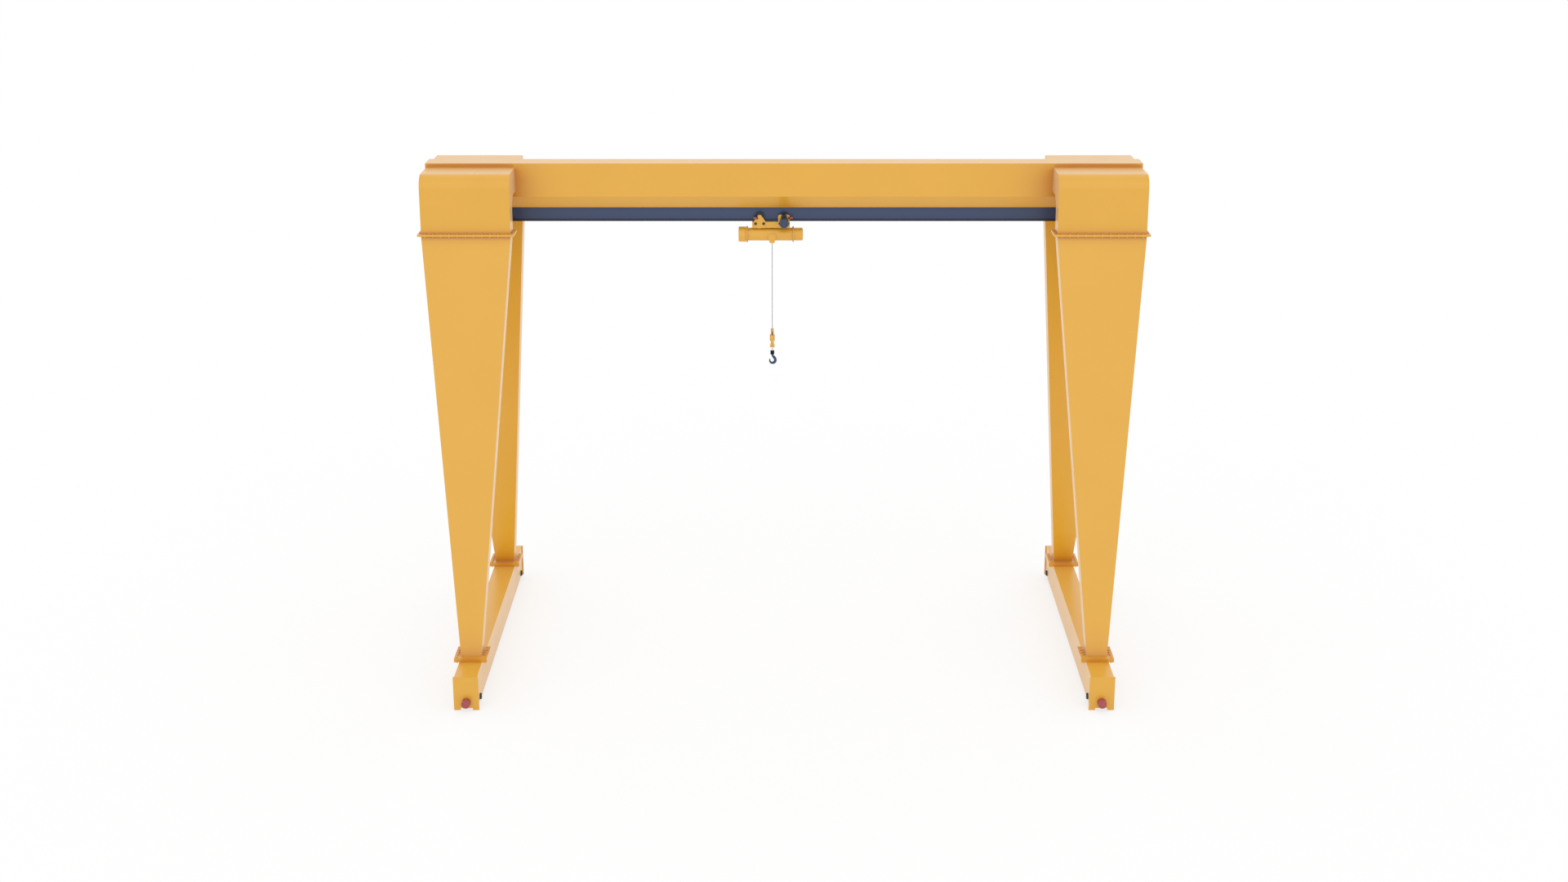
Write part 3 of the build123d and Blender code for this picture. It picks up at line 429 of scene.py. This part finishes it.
fasten("foot_flange_nuts", "gantry", yellow_enamel, foot_nuts,
       hex_radius=0.0208, hex_height=0.019, thread_end=0.012)


# Saddles: bent boxes of welded plate that turn from the legs' heads in to the girder's sides.
# Thin flanges, bolted all round, join them to the legs, and fillet welds hold them to the girder.
saddles = [f"saddle_{end}_{side}" for end, side in CORNERS]
paint(frame_enamel, "leg_head_flanges", "saddle_flanges", *saddles)
saddle_seams = []
for (end, side), saddle in zip(CORNERS, saddles):
    low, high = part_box(saddle)
    girder_face = high.y if end == "front" else low.y
    saddle_seams += [section_ring(saddle, 2, low.z), section_ring(saddle, 1, girder_face)]
weld("saddle_welds", saddle_seams, frame_enamel, LEG_BEAD, RIPPLE_PITCH)

HEAD_BOLT_MARGIN = 0.033
HEAD_BOLTS_LONG = 11
HEAD_BOLTS_SHORT = 3
head_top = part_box("saddle_flanges")[1].z
head_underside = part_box("leg_head_flanges")[0].z
head_bolts, head_nuts = [], []
for saddle in saddles:
    corners = section_ring(saddle, 2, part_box(saddle)[0].z)
    x_low, x_high = corners[0].x, corners[2].x
    y_low, y_high = corners[0].y, corners[2].y
    spots = []
    for step in range(HEAD_BOLTS_LONG):
        x = x_low + (x_high - x_low) * (step + 0.5) / HEAD_BOLTS_LONG
        spots += [(x, y_low - HEAD_BOLT_MARGIN), (x, y_high + HEAD_BOLT_MARGIN)]
    for step in range(HEAD_BOLTS_SHORT):
        y = y_low + (y_high - y_low) * (step + 0.5) / HEAD_BOLTS_SHORT
        spots += [(x_low - HEAD_BOLT_MARGIN, y), (x_high + HEAD_BOLT_MARGIN, y)]
    head_bolts += [(Vector((x, y, head_top)), (0, 0, 1)) for x, y in spots]
    head_nuts += [(Vector((x, y, head_underside)), (0, 0, -1)) for x, y in spots]
fasten("head_flange_bolts", "gantry", yellow_enamel, head_bolts,
       hex_radius=0.0173, hex_height=0.0125, thread_end=0.001)
fasten("head_flange_nuts", "gantry", yellow_enamel, head_nuts,
       hex_radius=0.0173, hex_height=0.016, thread_end=0.008)


# Main girder: a box of welded plate whose lower sides slope in to the track.
# It is sprayed like the legs, and a fillet weld each side joins it to the track below.
paint(frame_enamel, "girder_top_plate", "girder_web_plates", "girder_slope_plates", "girder_end_plates")
track_low, track_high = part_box("track_beam")
slope_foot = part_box("girder_slope_plates")[0].z
girder_seams = [[(track_low.x, side, slope_foot), (track_high.x, side, slope_foot)]
                for side in (track_low.y, track_high.y)]
TRACK_BEAD = 0.005
TRACK_RIPPLE_PITCH = 0.03
weld("girder_track_welds", girder_seams, frame_enamel, TRACK_BEAD, TRACK_RIPPLE_PITCH)


# Track: a rolled I-section in slate-blue enamel, hung under the girder for the trolley.
# The wheels have rubbed a bright path on its lower flange, whose edges are darkened, partly by grease and
# partly as painted shade.
# Yellow stops near its ends keep the trolley on it.
def height_in(tree):
    """The height over the ground at each point of a surface."""
    place = add(tree, "ShaderNodeTexCoord", {})["Object"]
    return add(tree, "ShaderNodeSeparateXYZ", {"Vector": place})["Z"]


def track_finish(name, colour, runway):
    """Slate enamel above the lower flange; below it dark steel, partly grease and partly painted shade,
    bright where the wheels run.
    """
    finish = enamel(name, colour, colour, 0.3)
    tree = finish.node_tree
    low = add(tree, "ShaderNodeMapRange",
              {"Value": height_in(tree), "From Min": runway + GREASE_EDGE,
               "From Max": runway + PAINT_EDGE, "To Min": 1.0, "To Max": 0.0})[0]
    # Painted shade, partly grease: the flange below the runway is darkened to near black.
    cover(finish, low, GREASE_AND_SHADE)
    outward = add(tree, "ShaderNodeNewGeometry", {})["Normal"]
    upward = add(tree, "ShaderNodeSeparateXYZ", {"Vector": outward})["Z"]
    flat = add(tree, "ShaderNodeMath", {0: upward, 1: 0.9}, operation="GREATER_THAN")[0]
    rubbed = add(tree, "ShaderNodeMath", {0: flat, 1: low}, operation="MULTIPLY")[0]
    cover(finish, rubbed, RUBBED_STEEL)
    tree.links.new(rubbed, tree.nodes["Principled BSDF"].inputs["Metallic"])
    return finish


SLATE = (0.038, 0.062, 0.14)
SLATE_SHADE = (0.033, 0.055, 0.126)
GREASE_AND_SHADE = (0.012, 0.016, 0.028)
GREASE_EDGE = 0.001
PAINT_EDGE = 0.004
RUBBED_STEEL = (0.3, 0.31, 0.33)
runway_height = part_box("track_stops")[0].z
paint(track_finish("track_enamel", SLATE, runway_height), "track_beam")
paint(yellow_enamel, "track_stops")


# Trolley: side plates cut from thick steel, joined by bolts, with flanged wheels on pins
# that hang it from the track. Small rubber buffers on brackets meet the track's stops,
# and a channel with two cradles carries the hoist.
paint(yellow_enamel, "trolley_idle_plates", "trolley_drive_plates", "trolley_wheel_pins",
      "hanger_channel", "hanger_cradles")
# Tie bolts and buffer brackets are blackened steel; the brackets' dark also stands as painted shade beside
# the buffers.
paint(blackened, "tie_bolts", "buffer_brackets")
paint(red_rubber, "trolley_buffers")
TROLLEY_TREAD = 0.07
for axle in ("idle", "drive"):
    for end in ("front", "rear"):
        wheel = f"trolley_wheel_{axle}_{end}"
        paint(worn_steel(f"{wheel}_steel", middle_of(wheel), (0, 1, 0), TROLLEY_TREAD), wheel)


# Travel drive: a geared motor in slate enamel on the front of the trolley, on a gear case
# that is nearly black. Its fan cover is a steel pressing with a ring of radial cooling slots
# round a plain middle.
def slot_tree():
    """A ring of radial slots, drawn as thin dark patches that stand for the openings' shaded insides as
    painted shade, round every point and across its facing.
    """
    tree, given = start_tree("cooling_slots", ["Ring Radius", "Slot Length", "Slot Width", "Slot Lip"])
    size = add(tree, "ShaderNodeCombineXYZ",
               {"X": given["Slot Length"], "Y": given["Slot Width"], "Z": given["Slot Lip"]})[0]
    opening = add(tree, "GeometryNodeMeshCube", {"Size": size})[0]
    ring = add(tree, "GeometryNodeMeshCircle", {"Vertices": COVER_SLOTS, "Radius": given["Ring Radius"]})[0]
    outward = add(tree, "GeometryNodeInputPosition", {})[0]
    radial = add(tree, "FunctionNodeAlignRotationToVector", {"Vector": outward},
                 axis="X", pivot_axis="Z")[0]
    openings = add(tree, "GeometryNodeInstanceOnPoints",
                   {"Points": ring, "Instance": opening, "Rotation": radial})[0]
    pattern = add(tree, "GeometryNodeRealizeInstances", {"Geometry": openings})[0]
    facing = add(tree, "GeometryNodeInputNamedAttribute", {"Name": "facing"}, data_type="FLOAT_VECTOR")[0]
    turned = add(tree, "FunctionNodeAlignRotationToVector", {"Vector": facing})[0]
    placed = add(tree, "GeometryNodeInstanceOnPoints",
                 {"Points": given["Layout"], "Instance": pattern, "Rotation": turned})[0]
    end_tree(tree, placed, given)
    return tree


def ventilate(name, motor, axis, place, facing):
    """Cooling slots in the flat end of a motor's fan cover, where the motor ends on a plane."""
    rim = section_ring(motor, axis, place)
    centre = (rim[0] + rim[2]) / 2
    cover_radius = (rim[2].z - rim[0].z) / 2
    piece = layout(name, [[centre]])
    piece.data.attributes.new("facing", "FLOAT_VECTOR", "POINT").data[0].vector = facing
    # Painted shade: the slots are blackened patches, not openings.
    grow(piece, cooling_slots, blackened, ring_radius=cover_radius * SLOT_RING_SHARE,
         slot_length=cover_radius * SLOT_LENGTH_SHARE, slot_width=cover_radius * SLOT_WIDTH_SHARE,
         slot_lip=SLOT_LIP)
    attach(piece, "trolley")


COVER_SLOTS = 16
SLOT_RING_SHARE = 0.64
SLOT_LENGTH_SHARE = 0.42
SLOT_WIDTH_SHARE = 0.08
SLOT_LIP = 0.0008
GEAR_CASE = (0.014, 0.018, 0.03)
GEAR_CASE_SHADE = (0.011, 0.014, 0.024)
cooling_slots = slot_tree()
paint(enamel("slate_enamel", SLATE, SLATE_SHADE, 0.32), "travel_motor")
ventilate("travel_motor_slots", "travel_motor", 1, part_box("travel_motor")[0].y, (0, -1, 0))
paint(enamel("gear_case_enamel", GEAR_CASE, GEAR_CASE_SHADE, 0.4), "travel_gear_case")


# Hoist: a rope drum in a tubular casing, with a gearbox on its left end and a motor on its right.
# The housings are bolted through their flanges and sprayed yellow, and the motor's end has
# cooling slots like the travel motor's.
paint(yellow_enamel, "hoist_casing", "hoist_gearbox", "hoist_motor", "rope_guide")
FLANGE_BOLT_RING = 0.142
DRUM_FLANGE_FACE = 0.038
DRUM_FLANGE_BOLTS = 12
MOTOR_FLANGE_BOLTS = 10
drum_axis = middle_of("hoist_casing")
casing_left, casing_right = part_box("hoist_casing")[0].x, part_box("hoist_casing")[1].x
hoist_places = []
for x, way, count in ((casing_left + DRUM_FLANGE_FACE, 1, DRUM_FLANGE_BOLTS),
                      (casing_right, -1, MOTOR_FLANGE_BOLTS)):
    flange = Vector((x, drum_axis.y, drum_axis.z))
    hoist_places += bolt_ring(flange, (way, 0, 0), FLANGE_BOLT_RING, count)
fasten("hoist_flange_bolts", "trolley", yellow_enamel, hoist_places,
       hex_radius=0.009, hex_height=0.007, thread_end=0.001)
ventilate("hoist_motor_slots", "hoist_motor", 0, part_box("hoist_motor")[1].x, (1, 0, 0))


# Hoist rope: one steel rope of six strands, from the drum down round the hook block's sheave
# and back up, so that two falls carry the load. It runs taut.
def rope_tree():
    """Six strands twisted round the layout's path."""
    tree, given = start_tree("wire_rope", ["Rope Radius", "Strand Radius", "Lay", "Step"])
    path = add(tree, "GeometryNodeMeshToCurve", {"Mesh": given["Layout"]})[0]
    steps = add(tree, "GeometryNodeResampleCurve",
                {"Curve": path, "Length": given["Step"]}, mode="LENGTH")[0]
    along = add(tree, "GeometryNodeSplineParameter", {})["Length"]
    turns = add(tree, "ShaderNodeMath", {0: along, 1: given["Lay"]}, operation="DIVIDE")[0]
    twist = add(tree, "ShaderNodeMath", {0: turns, 1: math.tau}, operation="MULTIPLY")[0]
    twisted = add(tree, "GeometryNodeSetCurveTilt", {"Curve": steps, "Tilt": twist})[0]
    ring_radius = add(tree, "ShaderNodeMath", {0: given["Rope Radius"], 1: given["Strand Radius"]},
                      operation="SUBTRACT")[0]
    ring = add(tree, "GeometryNodeMeshCircle", {"Vertices": STRANDS, "Radius": ring_radius})[0]
    strand = add(tree, "GeometryNodeCurvePrimitiveCircle",
                 {"Resolution": 6, "Radius": given["Strand Radius"]})[0]
    strands = add(tree, "GeometryNodeInstanceOnPoints", {"Points": ring, "Instance": strand})[0]
    section = add(tree, "GeometryNodeRealizeInstances", {"Geometry": strands})[0]
    wires = add(tree, "GeometryNodeCurveToMesh",
                {"Curve": twisted, "Profile Curve": section, "Fill Caps": True})[0]
    smooth = add(tree, "GeometryNodeSetShadeSmooth", {"Geometry": wires})[0]
    end_tree(tree, smooth, given)
    return tree


def wire_finish(name):
    """Bright drawn wire, dulled by grease between the strands."""
    finish = bpy.data.materials.new(name)
    finish.use_nodes = True
    tree = finish.node_tree
    wire = tree.nodes["Principled BSDF"]
    wire.inputs["Metallic"].default_value = 0.85
    place = add(tree, "ShaderNodeTexCoord", {})["Object"]
    dull = add(tree, "ShaderNodeTexNoise", {"Vector": place, "Scale": 60.0, "Detail": 4.0})[0]
    tree.links.new(tint(tree, dull, (0.3, GREASED_WIRE), (0.7, BRIGHT_WIRE)), wire.inputs["Base Color"])
    tree.links.new(spread(tree, dull, 0.5, 0.34), wire.inputs["Roughness"])
    return finish


GREASED_WIRE = (0.34, 0.345, 0.36)
BRIGHT_WIRE = (0.52, 0.53, 0.55)
STRANDS = 6
STRAND_SHARE = 0.36
ROPE_LAY = 0.085
ROPE_STEP = 0.006
HALF_TURN_STEPS = 24
rope_low, rope_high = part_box("hoist_rope")
rope_radius = (rope_high.x - rope_low.x) / 2
rope_x = (rope_low.x + rope_high.x) / 2
fall_y = rope_high.y - rope_radius
rope_run = [Vector((rope_x, -fall_y, rope_high.z))]
for step in range(HALF_TURN_STEPS + 1):
    angle = math.pi * step / HALF_TURN_STEPS
    rope_run.append(Vector((rope_x, -fall_y * math.cos(angle), rope_low.z - fall_y * math.sin(angle))))
rope_run.append(Vector((rope_x, fall_y, rope_high.z)))
rope = layout("wire_rope", [rope_run])
grow(rope, rope_tree(), wire_finish("drawn_wire"), rope_radius=rope_radius,
     strand_radius=rope_radius * STRAND_SHARE, lay=ROPE_LAY, step=ROPE_STEP)
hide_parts("hoist_rope")
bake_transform(rope)


# Hook block: a yellow steel shell round a grooved sheave of cast steel, with a crosshead below
# that carries the hook. A cover held by six screws closes the axle on each side.
paint(yellow_enamel, "hook_block_shell", "hook_crosshead")
SHEAVE_GROOVE = 0.11
HUB_SCREW_RING = 0.048
HUB_SCREWS = 6
hub = middle_of("hook_sheave")
paint(worn_steel("sheave_steel", hub, (1, 0, 0), SHEAVE_GROOVE), "hook_sheave")
shell_low, shell_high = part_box("hook_block_shell")
hub_places = []
for x, way in ((shell_low.x, -1), (shell_high.x, 1)):
    hub_places += bolt_ring(Vector((x, hub.y, hub.z)), (way, 0, 0), HUB_SCREW_RING, HUB_SCREWS)
fasten("hub_cover_screws", "hook_block", yellow_enamel, hub_places,
       hex_radius=0.007, hex_height=0.002, thread_end=0.0005)


# Hook: a single forged hook in slate enamel, whose turned shank swivels in the crosshead.
# It has a blackened collar, and above that the shank is left as bright machined steel.
def hook_finish(name, colour, collar_low, collar_top):
    """Slate enamel on the forging, blackened steel on the collar, bright turned steel above it."""
    finish = enamel(name, colour, colour, 0.34)
    tree = finish.node_tree
    height = height_in(tree)
    metal = add(tree, "ShaderNodeMath", {0: height, 1: collar_low}, operation="GREATER_THAN")[0]
    shank = add(tree, "ShaderNodeMath", {0: height, 1: collar_top}, operation="GREATER_THAN")[0]
    cover(finish, metal, COLLAR)
    cover(finish, shank, TURNED_STEEL)
    tree.links.new(metal, tree.nodes["Principled BSDF"].inputs["Metallic"])
    return finish


COLLAR = (0.016, 0.02, 0.024)
TURNED_STEEL = (0.82, 0.81, 0.79)
COLLAR_GAP = 0.087
COLLAR_HEIGHT = 0.078
COLLAR_MARGIN = 0.0005
collar_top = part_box("hook_crosshead")[0].z - COLLAR_GAP
collar_low = collar_top - COLLAR_HEIGHT
paint(hook_finish("hook_enamel", SLATE_SHADE, collar_low, collar_top + COLLAR_MARGIN), "hook")


# Stage: a plain pale floor in a white room that lights it softly from all round, with a broad
# weak lamp in front, and a camera at the photograph's height and angle.
def seen_directly(tree):
    """1 for rays from the camera, or by way of gloss or glass, and 0 for soft light."""
    rays = add(tree, "ShaderNodeLightPath", {})
    seen = rays["Is Camera Ray"]
    for way in ("Is Glossy Ray", "Is Transmission Ray"):
        seen = add(tree, "ShaderNodeMath", {0: seen, 1: rays[way]}, operation="MAXIMUM")[0]
    return seen


ROOM_LIGHT = 0.97
world = bpy.data.worlds.new("white_room")
world.use_nodes = True
bpy.context.scene.world = world
room = world.node_tree
room.nodes["Background"].inputs["Color"].default_value = (1.0, 1.0, 1.0, 1.0)
brightness = spread(room, seen_directly(room), ROOM_LIGHT, 1.0)
room.links.new(brightness, room.nodes["Background"].inputs["Strength"])

STAGE_REACH = 400.0
FLOOR_BOUNCE = 0.93
FLOOR_SEEN = 0.3
floor_mesh = bpy.data.meshes.new("floor")
floor_mesh.from_pydata([(-STAGE_REACH, -STAGE_REACH, 0), (STAGE_REACH, -STAGE_REACH, 0),
                        (STAGE_REACH, STAGE_REACH, 0), (-STAGE_REACH, STAGE_REACH, 0)], [], [(0, 1, 2, 3)])
floor = bpy.data.objects.new("floor", floor_mesh)
bpy.context.scene.collection.objects.link(floor)
pale = bpy.data.materials.new("pale_floor")
pale.use_nodes = True
floor_tree = pale.node_tree
ground = floor_tree.nodes["Principled BSDF"]
ground.inputs["Roughness"].default_value = 1.0
ground.inputs["Specular IOR Level"].default_value = 0.0
ground.inputs["Emission Color"].default_value = (1.0, 1.0, 1.0, 1.0)
seen = seen_directly(floor_tree)
whites = tint(floor_tree, seen, (0.0, (FLOOR_BOUNCE,) * 3), (1.0, (FLOOR_SEEN,) * 3))
floor_tree.links.new(whites, ground.inputs["Base Color"])
glow = spread(floor_tree, seen, 0.0, 1.0 - FLOOR_SEEN)
floor_tree.links.new(glow, ground.inputs["Emission Strength"])
floor_mesh.materials.append(pale)

front_lamp = bpy.data.lights.new("front_lamp", "SUN")
front_lamp.energy = 0.22
front_lamp.angle = math.radians(70.0)
lamp = bpy.data.objects.new("front_lamp", front_lamp)
lamp.rotation_euler = (math.radians(65.0), 0.0, 0.0)
bpy.context.scene.collection.objects.link(lamp)

CAMERA_PLACE = (0.0, -41.596, 16.880)
CAMERA_DIP = 16.94
camera_data = bpy.data.cameras.new("camera")
camera_data.lens = 50.0
camera_data.sensor_width = 36.0
camera_data.clip_end = 2000.0
camera = bpy.data.objects.new("camera", camera_data)
camera.location = CAMERA_PLACE
camera.rotation_euler = (math.radians(90.0 - CAMERA_DIP), 0.0, 0.0)
bpy.context.scene.collection.objects.link(camera)
bpy.context.scene.camera = camera
bpy.context.scene.view_settings.view_transform = "Standard"
